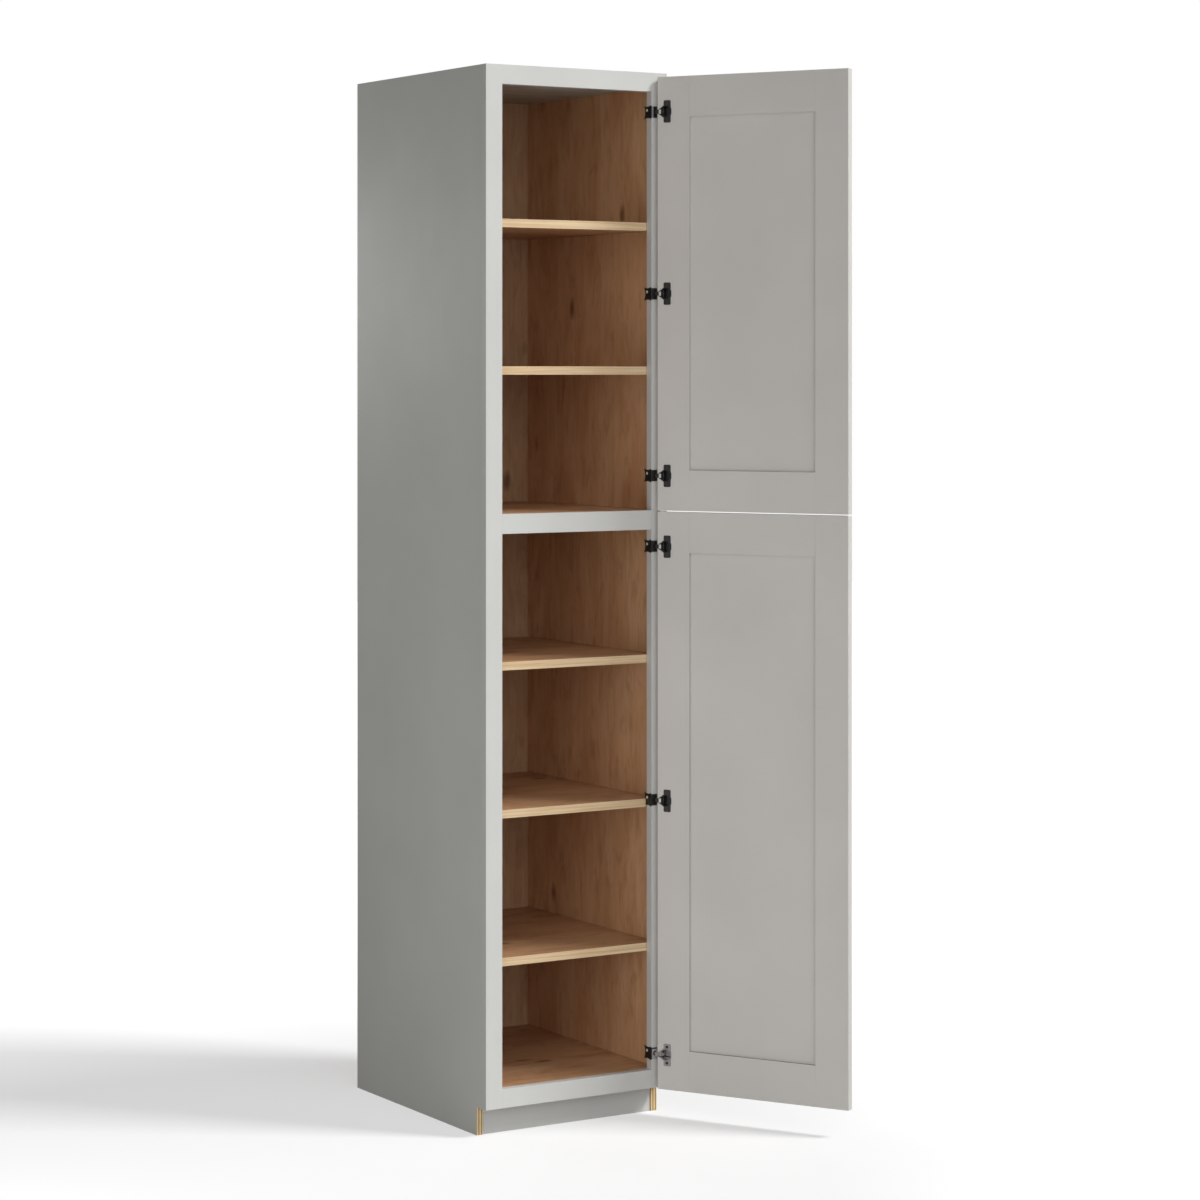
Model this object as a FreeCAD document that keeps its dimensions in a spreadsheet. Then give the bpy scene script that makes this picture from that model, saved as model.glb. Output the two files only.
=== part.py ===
"""Tall pantry cabinet with a framed front, seven compartments and two doors.

The origin lies on the floor, at the middle of the back panel's lower edge: +X to the
right, the front towards -Y, +Z up. Lengths are millimetres, angles are degrees.
Both doors are drawn open, as far as their hinges let them swing.
"""
import FreeCAD, Part
import math
import os

# Driving sizes, kept in the sheet
SIZES = {
    # Case
    "case_width": 457.2,
    "case_depth": 590.55,
    "case_height": 2286.0,
    "side_thickness": 15.9,
    "kick_height": 60.8,
    "kick_setback": 41.0,
    "kick_board_step": 2.5,
    "kick_board_thickness": 15.9,
    "back_thickness": 12.7,
    "back_recess": 1.85,
    "rabbet_depth": 8.0,
    "housing_depth": 6.0,
    "housing_clearance": 0.2,
    "top_thickness": 16.0,
    "top_recess": 13.0,
    "deck_thickness": 18.2,
    "shelf_thickness": 18.2,
    "shelf_front_gap": 1.0,
    "lower_shelf_low_share": 0.2134,
    "lower_shelf_middle_share": 0.4753,
    "lower_shelf_high_share": 0.7372,
    "upper_shelf_low_share": 0.3196,
    "upper_shelf_high_share": 0.6591,
    # Face frame
    "frame_thickness": 19.05,
    "frame_stile_width": 40.0,
    "top_rail_height": 41.5,
    "middle_rail_height": 42.3,
    "middle_rail_top": 1327.1,
    "bottom_rail_height": 40.3,
    "dowel_diameter": 8.0,
    "dowel_length": 40.0,
    "dowel_inset": 11.0,
    # Doors
    "door_thickness": 19.05,
    "door_side_reveal": 0.8,
    "door_top_reveal": 10.1,
    "door_gap": 2.9,
    "door_stile_width": 77.5,
    "door_rail_height": 88.7,
    "door_panel_thickness": 6.0,
    "door_groove_depth": 10.0,
    "door_panel_play": 1.0,
    # Hinges
    "hinge_end_distance": 76.0,
    "door_open_angle": 120.0,
    "link_open_angle": 64.0,
    "link_length": 16.47,
    "pin_diameter": 2.6,
    "pin_clearance": 0.05,
    "knuckle_diameter": 4.6,
    "arm_pin_inset": 10.9,
    "arm_pin_standoff": 5.5,
    "arm_knuckle_height": 4.0,
    "plate_thickness": 1.6,
    "front_plate_reach": 13.6,
    "front_plate_height": 24.6,
    "edge_plate_depth": 28.0,
    "edge_plate_height": 29.5,
    "edge_plate_waist": 24.6,
    "edge_plate_notch": 5.5,
    "rear_lip_reach": 7.0,
    "bracket_clearance": 0.4,
    "link_side_gap": 0.3,
    "link_height": 8.4,
    "link_thickness": 1.6,
    "link_rise": 5.35,
    "link_heel": 2.0,
    "link_toe": 0.5,
    "link_leg_setback": 1.9,
    "link_eye_height": 6.4,
    "cup_pin_setback": 11.9,
    "cup_pin_depth": 4.0,
    "cup_diameter": 26.0,
    "cup_setback": 20.6,
    "cup_depth": 13.2,
    "cup_wall": 1.0,
    "cup_floor": 1.2,
    "cup_fit": 0.1,
    "cup_pin_height": 16.4,
    "cup_rib_width": 1.0,
    "cup_rib_rise": 0.5,
    "cup_rib_pitch": 2.4,
    "cup_rib_length": 14.0,
    "flange_thickness": 1.0,
    "flange_diameter": 28.4,
    "flange_notch": 9.4,
    "flare_start": 0.6,
    "flare_end": 16.0,
    "flare_neck": 7.8,
    "flare_height": 26.4,
    "wing_width": 17.0,
    "wing_height": 48.8,
    "wing_screw_shift": 2.9,
    "wing_corner": 3.0,
    # Screws
    "wing_screw_spacing": 35.0,
    "screw_diameter": 3.5,
    "screw_head_diameter": 6.2,
    "screw_head_rise": 0.6,
    "screw_length": 15.0,
    "edge_screw_depth": 14.7,
    "edge_screw_rise": 4.5,
}

# Shelves of each section, from its floor upwards
LOWER_SHELVES = ("lower_shelf_low", "lower_shelf_middle", "lower_shelf_high")
UPPER_SHELVES = ("upper_shelf_low", "upper_shelf_high")

CUP_RIBS = 4


class Size:
    """A size as a number and as the sheet expression that gives it."""

    def __init__(self, value, text):
        self.value = value
        self.text = text

    def __add__(self, other):
        other = sized(other)
        return Size(self.value + other.value, "(%s + %s)" % (self.text, other.text))

    def __sub__(self, other):
        other = sized(other)
        return Size(self.value - other.value, "(%s - %s)" % (self.text, other.text))

    def __mul__(self, other):
        other = sized(other)
        return Size(self.value * other.value, "(%s * %s)" % (self.text, other.text))

    def __truediv__(self, other):
        other = sized(other)
        return Size(self.value / other.value, "(%s / %s)" % (self.text, other.text))

    def __neg__(self):
        return Size(-self.value, "(0 - %s)" % self.text)

    __radd__ = __add__
    __rmul__ = __mul__


def sized(number):
    """Take a plain number as a Size."""
    if isinstance(number, Size):
        return number
    return Size(number, repr(number))


def cosine(angle):
    return Size(math.cos(math.radians(angle.value)), "cos(%s)" % angle.text)


def sine(angle):
    return Size(math.sin(math.radians(angle.value)), "sin(%s)" % angle.text)


def make_sheet(document):
    """Write the driving sizes to the sheet and return them by name."""
    sheet = document.addObject("Spreadsheet::Sheet", "Sizes")
    for row, (name, value) in enumerate(SIZES.items(), start=1):
        sheet.set("A%d" % row, name)
        sheet.set("B%d" % row, str(value))
        sheet.setAlias("B%d" % row, name)
    document.recompute()
    return {name: Size(value, "Sizes.%s" % name) for name, value in SIZES.items()}


class Frame:
    """A local frame that stands upright: a corner and a turn about Z."""

    def __init__(self, x, y, z, angle):
        self.x = sized(x)
        self.y = sized(y)
        self.z = sized(z)
        self.angle = sized(angle)

    def point(self, x, y, z):
        """The part's coordinates of a local point."""
        x, y, z = sized(x), sized(y), sized(z)
        if self.angle.value == 0:
            return self.x + x, self.y + y, self.z + z
        cos, sin = cosine(self.angle), sine(self.angle)
        return self.x + x * cos - y * sin, self.y + x * sin + y * cos, self.z + z

    def moved(self, x, y, z):
        """The same frame with its corner moved along its own directions."""
        return Frame(*self.point(x, y, z), self.angle)


doc = FreeCAD.newDocument("TallPantryCabinet")
size = make_sheet(doc)


def bind(piece, prop, value):
    """Tie a property to the sheet."""
    piece.setExpression(prop, sized(value).text)


def place(piece, frame, x, y, z, tilt=None):
    """Put a piece's corner at a local point; tilt turns its own Z axis onto local X or Y."""
    for axis, value in zip("xyz", frame.point(x, y, z)):
        bind(piece, "Placement.Base." + axis, value)
    if tilt is None and frame.angle.value == 0:
        return
    turn = FreeCAD.Rotation(FreeCAD.Vector(0, 0, 1), frame.angle.value)
    if tilt == "x":
        turn = turn * FreeCAD.Rotation(FreeCAD.Vector(0, 1, 0), 90)
    if tilt == "y":
        turn = turn * FreeCAD.Rotation(FreeCAD.Vector(1, 0, 0), -90)
    piece.Placement = FreeCAD.Placement(piece.Placement.Base, turn)
    if tilt is None:
        bind(piece, "Placement.Rotation.Angle", frame.angle)


def box(name, frame, x, y, z, length, width, height):
    """A block with one corner at a local point."""
    piece = doc.addObject("Part::Box", name)
    bind(piece, "Length", length)
    bind(piece, "Width", width)
    bind(piece, "Height", height)
    place(piece, frame, x, y, z)
    return piece


def mid_box(name, frame, x, y, length, width, height, middle=0):
    """A block whose height is shared equally above and below a local level."""
    return box(name, frame, x, y, sized(middle) - sized(height) / 2, length, width, height)


def rod(name, frame, x, y, z, diameter, length, tilt=None):
    """A cylinder from a local point, along Z, or along X or Y by its tilt."""
    piece = doc.addObject("Part::Cylinder", name)
    bind(piece, "Radius", sized(diameter) / 2)
    bind(piece, "Height", length)
    place(piece, frame, x, y, z, tilt)
    return piece


def mid_rod(name, frame, x, y, diameter, height):
    """An upright cylinder shared equally above and below the frame's level."""
    return rod(name, frame, x, y, -(sized(height) / 2), diameter, height)


def flared(name, frame, start, end, thickness, narrow, wide):
    """A plate in front of the local XZ plane that grows taller along X."""
    piece = doc.addObject("Part::Wedge", name)
    for prop in ("Xmin", "X2min", "Ymin"):
        bind(piece, prop, 0)
    for prop in ("Xmax", "X2max"):
        bind(piece, prop, thickness)
    bind(piece, "Ymax", end - start)
    for prop, height in (("Z", narrow), ("Z2", wide)):
        bind(piece, prop + "min", -(height / 2))
        bind(piece, prop + "max", height / 2)
    place(piece, Frame(*frame.point(start, 0, 0), frame.angle - 90), 0, 0, 0)
    return piece


def fuse(name, pieces):
    """Join blocks into one solid."""
    joined = doc.addObject("Part::MultiFuse", name)
    joined.Shapes = pieces
    joined.Refine = True
    return joined


def cut(name, base, tools):
    """Take tools away from a solid."""
    tool = tools[0] if len(tools) == 1 else fuse(name + "_tools", tools)
    result = doc.addObject("Part::Cut", name)
    result.Base = base
    result.Tool = tool
    result.Refine = True
    return result


def group(name, pieces):
    """Keep separate solids together as one sub-part."""
    held = doc.addObject("Part::Compound", name)
    held.Links = pieces
    return held


nodes = []


def node(name, piece):
    """Name a finished sub-part, which also names its file."""
    piece.Label = name
    nodes.append(piece)
    return piece


# Places that several pieces share
case_front = size["frame_thickness"]
back_front = size["case_depth"] - size["back_recess"] - size["back_thickness"]
case = Frame(-size["case_width"] / 2, -back_front - size["back_thickness"] / 2, 0, 0)
inner_width = size["case_width"] - size["side_thickness"] * 2
housed_width = inner_width + size["housing_depth"] * 2
housed_left = size["side_thickness"] - size["housing_depth"]
floor_top = size["kick_height"] + size["bottom_rail_height"]
floor_under = floor_top - size["deck_thickness"]
deck_top = size["middle_rail_top"]
deck_under = deck_top - size["deck_thickness"]
top_under = size["case_height"] - size["top_recess"] - size["top_thickness"]
stile_inner = size["case_width"] - size["frame_stile_width"]
opening_width = size["case_width"] - size["frame_stile_width"] * 2


def shelf_levels():
    """The underside of every fixed shelf by name, from its share of its section."""
    levels = {}
    for name in LOWER_SHELVES:
        levels[name] = floor_top + (deck_under - floor_top) * size[name + "_share"]
    for name in UPPER_SHELVES:
        levels[name] = deck_top + (top_under - deck_top) * size[name + "_share"]
    return levels


def boards():
    """Underside, thickness and front edge of every board that the sides carry."""
    levels = {
        "bottom_panel": (floor_under, size["deck_thickness"], case_front),
        "middle_deck": (deck_under, size["deck_thickness"], case_front),
        "top_panel": (top_under, size["top_thickness"], case_front),
    }
    for name, level in shelf_levels().items():
        levels[name] = (level, size["shelf_thickness"], case_front + size["shelf_front_gap"])
    return levels


def make_side_panel(name, left):
    """A side with its toe notch, the housings for the boards and the rabbet for the back."""
    x = sized(0) if left else size["case_width"] - size["side_thickness"]
    inner = size["side_thickness"] - size["housing_depth"] if left else sized(0)
    rabbet = size["side_thickness"] - size["rabbet_depth"] if left else sized(0)
    frame = case.moved(x, 0, 0)
    panel = box(name + "_board", frame, 0, case_front, 0, size["side_thickness"],
                size["case_depth"] - case_front, size["case_height"])
    tools = [box(name + "_notch", frame, 0, case_front, 0, size["side_thickness"],
                 size["kick_setback"] - case_front, size["kick_height"]),
             box(name + "_rabbet", frame, rabbet, back_front, 0, size["rabbet_depth"],
                 size["back_recess"] + size["back_thickness"], size["case_height"])]
    for board, (level, thickness, front) in boards().items():
        tools.append(box(name + "_" + board + "_housing", frame, inner, case_front, level,
                         size["housing_depth"], back_front - case_front,
                         thickness + size["housing_clearance"]))
    node(name, cut(name, panel, tools))


def meets_bracket(level, thickness):
    """Whether a board lies at the height of a hinge's fixed half."""
    reach = (size["edge_plate_height"] / 2 + size["bracket_clearance"]).value
    return any(hinge.value - reach < (level + thickness).value and level.value < hinge.value + reach
               for hinge in hinge_levels())


def make_boards():
    """Floor, deck, top and shelves, housed in both sides and notched round a bracket."""
    for name, (level, thickness, front) in boards().items():
        board = box(name + "_board", case, housed_left, front, level, housed_width,
                    back_front - front, thickness)
        if meets_bracket(level, thickness):
            left = stile_inner - size["plate_thickness"] - size["bracket_clearance"]
            notch = box(name + "_notch", case, left, front, level,
                        housed_left + housed_width - left,
                        size["edge_plate_depth"] + size["bracket_clearance"] - front, thickness)
            board = cut(name + "_notched", board, [notch])
        node(name, board)


def make_case():
    """The box behind the face frame."""
    make_side_panel("left_side_panel", left=True)
    make_side_panel("right_side_panel", left=False)
    make_boards()
    node("back_panel", box("back_panel", case, size["side_thickness"] - size["rabbet_depth"],
                           back_front, 0, inner_width + size["rabbet_depth"] * 2,
                           size["back_thickness"], size["case_height"]))
    node("toe_kick_board", box("toe_kick_board", case, size["side_thickness"],
                               size["kick_setback"] + size["kick_board_step"], 0, inner_width,
                               size["kick_board_thickness"], floor_under))


def frame_rails():
    """Lower edge and height of the three rails of the face frame."""
    return {
        "top_rail": (size["case_height"] - size["top_rail_height"], size["top_rail_height"]),
        "middle_rail": (deck_top - size["middle_rail_height"], size["middle_rail_height"]),
        "bottom_rail": (size["kick_height"], size["bottom_rail_height"]),
    }


def dowel_levels(level, height):
    """The two dowels at each end of a rail."""
    return level + size["dowel_inset"], level + height - size["dowel_inset"]


def frame_dowel(name, left, level):
    """One dowel that crosses a rail's joint, half in the stile and half in the rail."""
    joint = size["frame_stile_width"] if left else stile_inner
    return rod(name, case, joint - size["dowel_length"] / 2, size["frame_thickness"] / 2,
               level, size["dowel_diameter"], size["dowel_length"], tilt="x")


def make_face_frame():
    """Two stiles and three rails, joined by dowels."""
    height = size["case_height"] - size["kick_height"]
    stiles = {"left_stile": sized(0), "right_stile": stile_inner}
    for name, x in stiles.items():
        left = name == "left_stile"
        holes = []
        for rail, (level, rail_height) in frame_rails().items():
            for count, middle in enumerate(dowel_levels(level, rail_height)):
                holes.append(frame_dowel("%s_%s_hole_%d" % (name, rail, count), left, middle))
        if not left:
            holes += [edge_screw_hole("edge_screw_hole_%d" % count, level)
                      for count, level in enumerate(hinge_levels(), start=1)]
        board = box(name + "_board", case, x, 0, size["kick_height"], size["frame_stile_width"],
                    size["frame_thickness"], height)
        node(name, cut(name, board, holes))
    dowels = []
    for rail, (level, rail_height) in frame_rails().items():
        board = box(rail + "_board", case, size["frame_stile_width"], 0, level, opening_width,
                    size["frame_thickness"], rail_height)
        holes = []
        for left in (True, False):
            for count, middle in enumerate(dowel_levels(level, rail_height)):
                end = "%s_%s_%d" % (rail, "left" if left else "right", count)
                holes.append(frame_dowel(end + "_hole", left, middle))
                dowels.append(frame_dowel(end + "_dowel", left, middle))
        node("frame_" + rail, cut("frame_" + rail, board, holes))
    node("face_frame_dowels", group("face_frame_dowels", dowels))


# Doors and hinges
upper_door_bottom = size["middle_rail_top"]
upper_door_top = size["case_height"] - size["door_top_reveal"]
lower_door_bottom = size["kick_height"]
lower_door_top = upper_door_bottom - size["door_gap"]
door_width = size["case_width"] - size["door_side_reveal"] * 2
arm_pin_x = stile_inner + size["arm_pin_inset"]
arm_pin_y = -size["arm_pin_standoff"]
link_angle = -size["link_open_angle"]
door_angle = size["door_open_angle"] - 180
cup_pin_x = arm_pin_x + size["link_length"] * cosine(link_angle)
cup_pin_y = arm_pin_y + size["link_length"] * sine(link_angle)
door_corner_x = (cup_pin_x - size["cup_pin_setback"] * cosine(door_angle)
                 + size["cup_pin_depth"] * sine(door_angle))
door_corner_y = (cup_pin_y - size["cup_pin_setback"] * sine(door_angle)
                 - size["cup_pin_depth"] * cosine(door_angle))


def door_frame(level):
    """Local X runs from the hinge edge, Y from the inner face outwards."""
    return Frame(*case.point(door_corner_x, door_corner_y, level), door_angle)


def link_frame(level):
    """Local X runs from the arm pin to the cup pin."""
    return Frame(*case.point(arm_pin_x, arm_pin_y, level), link_angle)


def door_hinge_levels(bottom, top):
    """Three hinges: one near each end and one half way."""
    return (bottom + size["hinge_end_distance"], (bottom + top) / 2,
            top - size["hinge_end_distance"])


def hinge_levels():
    """All six hinges from the floor up."""
    return (door_hinge_levels(lower_door_bottom, lower_door_top)
            + door_hinge_levels(upper_door_bottom, upper_door_top))


def edge_screw(name, level, head):
    """A screw through the bracket into the stile's inner edge, or the hole it fills."""
    frame = case.moved(stile_inner, size["edge_screw_depth"], level + size["edge_screw_rise"])
    shank = rod(name + "_shank", frame, -size["plate_thickness"], 0, 0,
                size["screw_diameter"], size["screw_length"], tilt="x")
    if not head:
        return shank
    top = rod(name + "_head", frame, -size["plate_thickness"] - size["screw_head_rise"], 0, 0,
              size["screw_head_diameter"], size["screw_head_rise"], tilt="x")
    return fuse(name, [shank, top])


def edge_screw_hole(name, level):
    return edge_screw(name, level, head=False)


def wing_screw(name, frame, z, head):
    """A screw through a cup's wing into the door, or the hole it fills."""
    x = size["cup_setback"] + size["wing_screw_shift"]
    shank = rod(name + "_shank", frame, x, -size["flange_thickness"], z,
                size["screw_diameter"], size["screw_length"], tilt="y")
    if not head:
        return shank
    top = rod(name + "_head", frame, x, -size["flange_thickness"] - size["screw_head_rise"], z,
              size["screw_head_diameter"], size["screw_head_rise"], tilt="y")
    return fuse(name, [shank, top])


def wing_screw_levels(level):
    """The two screws of a cup."""
    half = size["wing_screw_spacing"] / 2
    return level - half, level + half


def make_bracket(name, level):
    """The fixed half: a plate round the stile's edge with the arm that carries the first pin."""
    frame = case.moved(stile_inner, 0, level)
    skin = size["plate_thickness"]
    edge = mid_box(name + "_edge", frame, -skin, 0, skin, size["edge_plate_depth"],
                   size["edge_plate_height"])
    dip = (size["edge_plate_height"] - size["edge_plate_waist"]) / 2
    half = size["edge_plate_depth"] / 2
    sweep = (half * half / dip + dip) / 2
    hollows = []
    for count, side in enumerate((-1, 1)):
        middle = (size["edge_plate_waist"] / 2 + sweep) * side
        hollows.append(rod("%s_waist_%d" % (name, count), frame, -skin * 2, half, middle,
                           sweep * 2, skin * 3, tilt="x"))
    notch = size["edge_plate_notch"]
    rear = size["edge_plate_height"] / 2
    curve = (rear * rear / notch + notch) / 2
    hollows.append(rod(name + "_rear_notch", frame, -skin * 2,
                       size["edge_plate_depth"] - notch + curve, 0, curve * 2, skin * 3,
                       tilt="x"))
    edge = cut(name + "_edge_cut", edge, hollows)
    bend = mid_box(name + "_bend", frame, -skin, -skin, skin, skin * 2, size["edge_plate_waist"])
    face = mid_box(name + "_face", frame, -skin, -skin, skin + size["front_plate_reach"], skin,
                   size["front_plate_height"])
    lip = mid_box(name + "_lip", frame, -skin, size["frame_thickness"],
                  skin + size["rear_lip_reach"], skin, size["edge_plate_waist"])
    pin = size["arm_pin_inset"]
    knuckle = size["knuckle_diameter"] / 2
    web = mid_box(name + "_web", frame, pin - knuckle, -size["arm_pin_standoff"], knuckle * 2,
                  size["arm_pin_standoff"], size["arm_knuckle_height"])
    eye = mid_rod(name + "_eye", frame, pin, -size["arm_pin_standoff"],
                  size["knuckle_diameter"], size["arm_knuckle_height"])
    body = fuse(name + "_body", [edge, bend, face, lip, web, eye])
    holes = [mid_rod(name + "_pin_hole", frame, pin, -size["arm_pin_standoff"],
                     size["pin_diameter"], size["arm_knuckle_height"] * 2),
             edge_screw(name + "_screw_hole", level, head=False)]
    node(name, cut(name, body, holes))


def make_link(name, level):
    """The moving strap: two ears on the arm's pin, a raised bridge and one eye on the cup's."""
    frame = link_frame(level)
    reach = size["link_length"]
    heel = size["link_heel"] + size["link_thickness"]
    rise = size["link_rise"]
    ear = (size["link_height"] - size["arm_knuckle_height"]) / 2 - size["link_side_gap"]
    pieces = []
    for count, bottom in enumerate((-(size["link_height"] / 2), size["link_height"] / 2 - ear)):
        label = "%s_ear_%d" % (name, count)
        pieces.append(rod(label + "_eye", frame, 0, 0, bottom, size["knuckle_diameter"], ear))
        pieces.append(box(label + "_cheek", frame, 0, -rise - size["link_thickness"], bottom,
                          heel, rise + size["link_thickness"], ear))
    pieces.append(mid_box(name + "_bridge", frame, 0, -rise - size["link_thickness"],
                          reach - size["link_toe"], size["link_thickness"],
                          size["link_height"]))
    pieces.append(mid_box(name + "_leg", frame, reach - size["link_leg_setback"],
                          -rise - size["link_thickness"],
                          size["link_leg_setback"] - size["link_toe"],
                          rise + size["link_thickness"], size["link_eye_height"]))
    pieces.append(mid_rod(name + "_eye", frame, reach, 0, size["knuckle_diameter"],
                          size["link_eye_height"]))
    body = fuse(name + "_body", pieces)
    bore = size["pin_diameter"] + size["pin_clearance"] * 2
    holes = [mid_rod(name + "_arm_hole", frame, 0, 0, bore, size["link_height"] * 2),
             mid_rod(name + "_cup_hole", frame, reach, 0, bore, size["link_height"] * 2)]
    node(name, cut(name, body, holes))


def make_cup(name, door, level):
    """The half in the door: a cup with its flange, two wings and ribs on its floor."""
    frame = door.moved(0, 0, level)
    middle = size["cup_setback"]
    sheet = size["flange_thickness"]
    shell = rod(name + "_shell", frame, middle, 0, 0, size["cup_diameter"], size["cup_depth"],
                tilt="y")
    disc = rod(name + "_disc", frame, middle, -sheet, 0, size["flange_diameter"], sheet,
               tilt="y")
    corner = size["wing_corner"]
    wing_left = middle + size["wing_screw_shift"] - size["wing_width"] / 2
    half = size["wing_height"] / 2
    wings = [mid_box(name + "_wing", frame, wing_left, -sheet, size["wing_width"], sheet,
                     size["wing_height"] - corner * 2),
             mid_box(name + "_wing_core", frame, wing_left + corner, -sheet,
                     size["wing_width"] - corner * 2, sheet, size["wing_height"])]
    for count, (side, end) in enumerate(((0, -1), (0, 1), (1, -1), (1, 1))):
        x = wing_left + corner + (size["wing_width"] - corner * 2) * side
        wings.append(rod("%s_corner_%d" % (name, count), frame, x, -sheet,
                         (half - corner) * end, corner * 2, sheet, tilt="y"))
    flare = flared(name + "_flare", frame, size["flare_start"], size["flare_end"], sheet,
                   size["flare_neck"], size["flare_height"])
    body = fuse(name + "_body", [shell, disc, flare] + wings)
    bore = size["cup_diameter"] - size["cup_wall"] * 2
    hollow = size["cup_depth"] - size["cup_floor"]
    tools = [rod(name + "_bore", frame, middle, -sheet, 0, bore, hollow + sheet, tilt="y"),
             mid_box(name + "_notch", frame, middle - size["flange_diameter"], -sheet,
                     size["flange_diameter"], sheet, size["flange_notch"]),
             mid_box(name + "_heel_trim", frame, middle + size["cup_diameter"] / 2, -sheet,
                     size["flange_diameter"] / 2, sheet, size["flange_diameter"]),
             mid_rod(name + "_pin_hole", frame, size["cup_pin_setback"], size["cup_pin_depth"],
                     size["pin_diameter"], size["cup_diameter"])]
    for count, z in enumerate(wing_screw_levels(sized(0))):
        tools.append(wing_screw("%s_screw_hole_%d" % (name, count), frame, z, head=False))
    shaped = cut(name + "_cut", body, tools)
    ribs = []
    for count in range(CUP_RIBS):
        x = middle + size["cup_rib_pitch"] * (count - (CUP_RIBS - 1) / 2) - size["cup_rib_width"] / 2
        ribs.append(mid_box("%s_rib_%d" % (name, count), frame, x,
                            hollow - size["cup_rib_rise"], size["cup_rib_width"],
                            size["cup_rib_rise"], size["cup_rib_length"]))
    node(name, fuse(name, [shaped] + ribs))


def make_door(prefix, bottom, top, hinge_numbers):
    """One framed door with a floating flat panel and its three hinge halves."""
    door = door_frame(bottom)
    height = top - bottom
    stile = size["door_stile_width"]
    rail = size["door_rail_height"]
    thick = size["door_thickness"]
    groove = size["door_groove_depth"]
    tongue = size["door_panel_thickness"]
    tongue_y = (thick - tongue) / 2
    levels = [level - bottom for level in door_hinge_levels(bottom, top)]
    free = door_width - stile
    panel_low = rail - groove

    hinge_tools = [box(prefix + "_hinge_groove", door, stile - groove, tongue_y, 0, groove,
                       tongue, height)]
    free_groove = box(prefix + "_free_groove", door, free, tongue_y, 0, groove, tongue, height)
    for number, level in zip(hinge_numbers, levels):
        hinge_tools.append(rod("%s_bore_%d" % (prefix, number), door, size["cup_setback"], 0,
                               level, size["cup_diameter"] + size["cup_fit"] * 2,
                               size["cup_depth"] + size["cup_fit"], tilt="y"))
        for count, z in enumerate(wing_screw_levels(level)):
            hinge_tools.append(wing_screw("%s_screw_hole_%d_%d" % (prefix, number, count), door,
                                          z, head=False))
    board = box(prefix + "_hinge_stile_board", door, 0, 0, 0, stile, thick, height)
    node(prefix + "_hinge_stile", cut(prefix + "_hinge_stile", board, hinge_tools))
    board = box(prefix + "_free_stile_board", door, free, 0, 0, stile, thick, height)
    node(prefix + "_free_stile", cut(prefix + "_free_stile", board, [free_groove]))

    for name, level, slot in (("bottom", sized(0), rail - groove),
                              ("top", height - rail, height - rail)):
        label = "%s_%s_rail" % (prefix, name)
        bar = box(label + "_board", door, stile, 0, level, free - stile, thick, rail)
        tenon = box(label + "_tongue", door, stile - groove, tongue_y, level,
                    free - stile + groove * 2, tongue, rail)
        slot_tool = box(label + "_slot", door, stile - groove, tongue_y, slot,
                        free - stile + groove * 2, tongue, groove)
        node(label, cut(label, fuse(label + "_body", [bar, tenon]), [slot_tool]))

    play = size["door_panel_play"]
    node(prefix + "_panel", box(prefix + "_panel", door, stile - groove + play, tongue_y,
                                panel_low + play, free - stile + (groove - play) * 2, tongue,
                                height - (panel_low + play) * 2))

    screws = []
    pins = []
    for number, level in zip(hinge_numbers, levels):
        make_cup("hinge_cup_%d" % number, door, level)
        for count, z in enumerate(wing_screw_levels(level)):
            screws.append(wing_screw("%s_screw_%d_%d" % (prefix, number, count), door, z,
                                     head=True))
        pins.append(mid_rod("%s_pin_%d" % (prefix, number), door.moved(0, 0, level),
                            size["cup_pin_setback"], size["cup_pin_depth"],
                            size["pin_diameter"], size["cup_pin_height"]))
        make_link("hinge_link_%d" % number, bottom + level)
    node(prefix + "_cup_screws", group(prefix + "_cup_screws", screws))
    node(prefix + "_cup_pins", group(prefix + "_cup_pins", pins))


def make_brackets():
    """The six fixed hinge halves with their screws and pins."""
    screws = []
    pins = []
    for number, level in enumerate(hinge_levels(), start=1):
        make_bracket("hinge_bracket_%d" % number, level)
        screws.append(edge_screw("bracket_screw_%d" % number, level, head=True))
        pins.append(mid_rod("arm_pin_%d" % number, case.moved(0, 0, level), arm_pin_x,
                            arm_pin_y, size["pin_diameter"], size["link_height"]))
    node("bracket_screws", group("bracket_screws", screws))
    node("hinge_arm_pins", group("hinge_arm_pins", pins))


def write_parts():
    """Check every object and write each sub-part to its own file."""
    for item in doc.Objects:
        if "Invalid" in item.State or "Error" in item.State:
            raise RuntimeError("%s is not in order: %s" % (item.Label, item.State))
    for piece in nodes:
        if piece.Shape.isNull() or not piece.Shape.isValid():
            raise RuntimeError("%s has no valid shape" % piece.Label)
    os.makedirs("parts", exist_ok=True)
    for piece in nodes:
        piece.Shape.exportStep("parts/%s.step" % piece.Label)
        print("%-24s %2d solids %12.1f mm3" % (piece.Label, len(piece.Shape.Solids),
                                               piece.Shape.Volume))


make_case()
make_face_frame()
make_brackets()
make_door("lower_door", lower_door_bottom, lower_door_top, (1, 2, 3))
make_door("upper_door", upper_door_bottom, upper_door_top, (4, 5, 6))
doc.recompute()
write_parts()
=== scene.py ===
"""Looks of the tall pantry cabinet: eased and finished boards, doors and hinges.

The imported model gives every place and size. Lengths are metres. The front of the
cabinet faces -Y, +X is to the right and +Z is up, with the floor at zero.
"""
from __future__ import annotations

import logging
import math
from dataclasses import dataclass, replace
from enum import Enum

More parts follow.
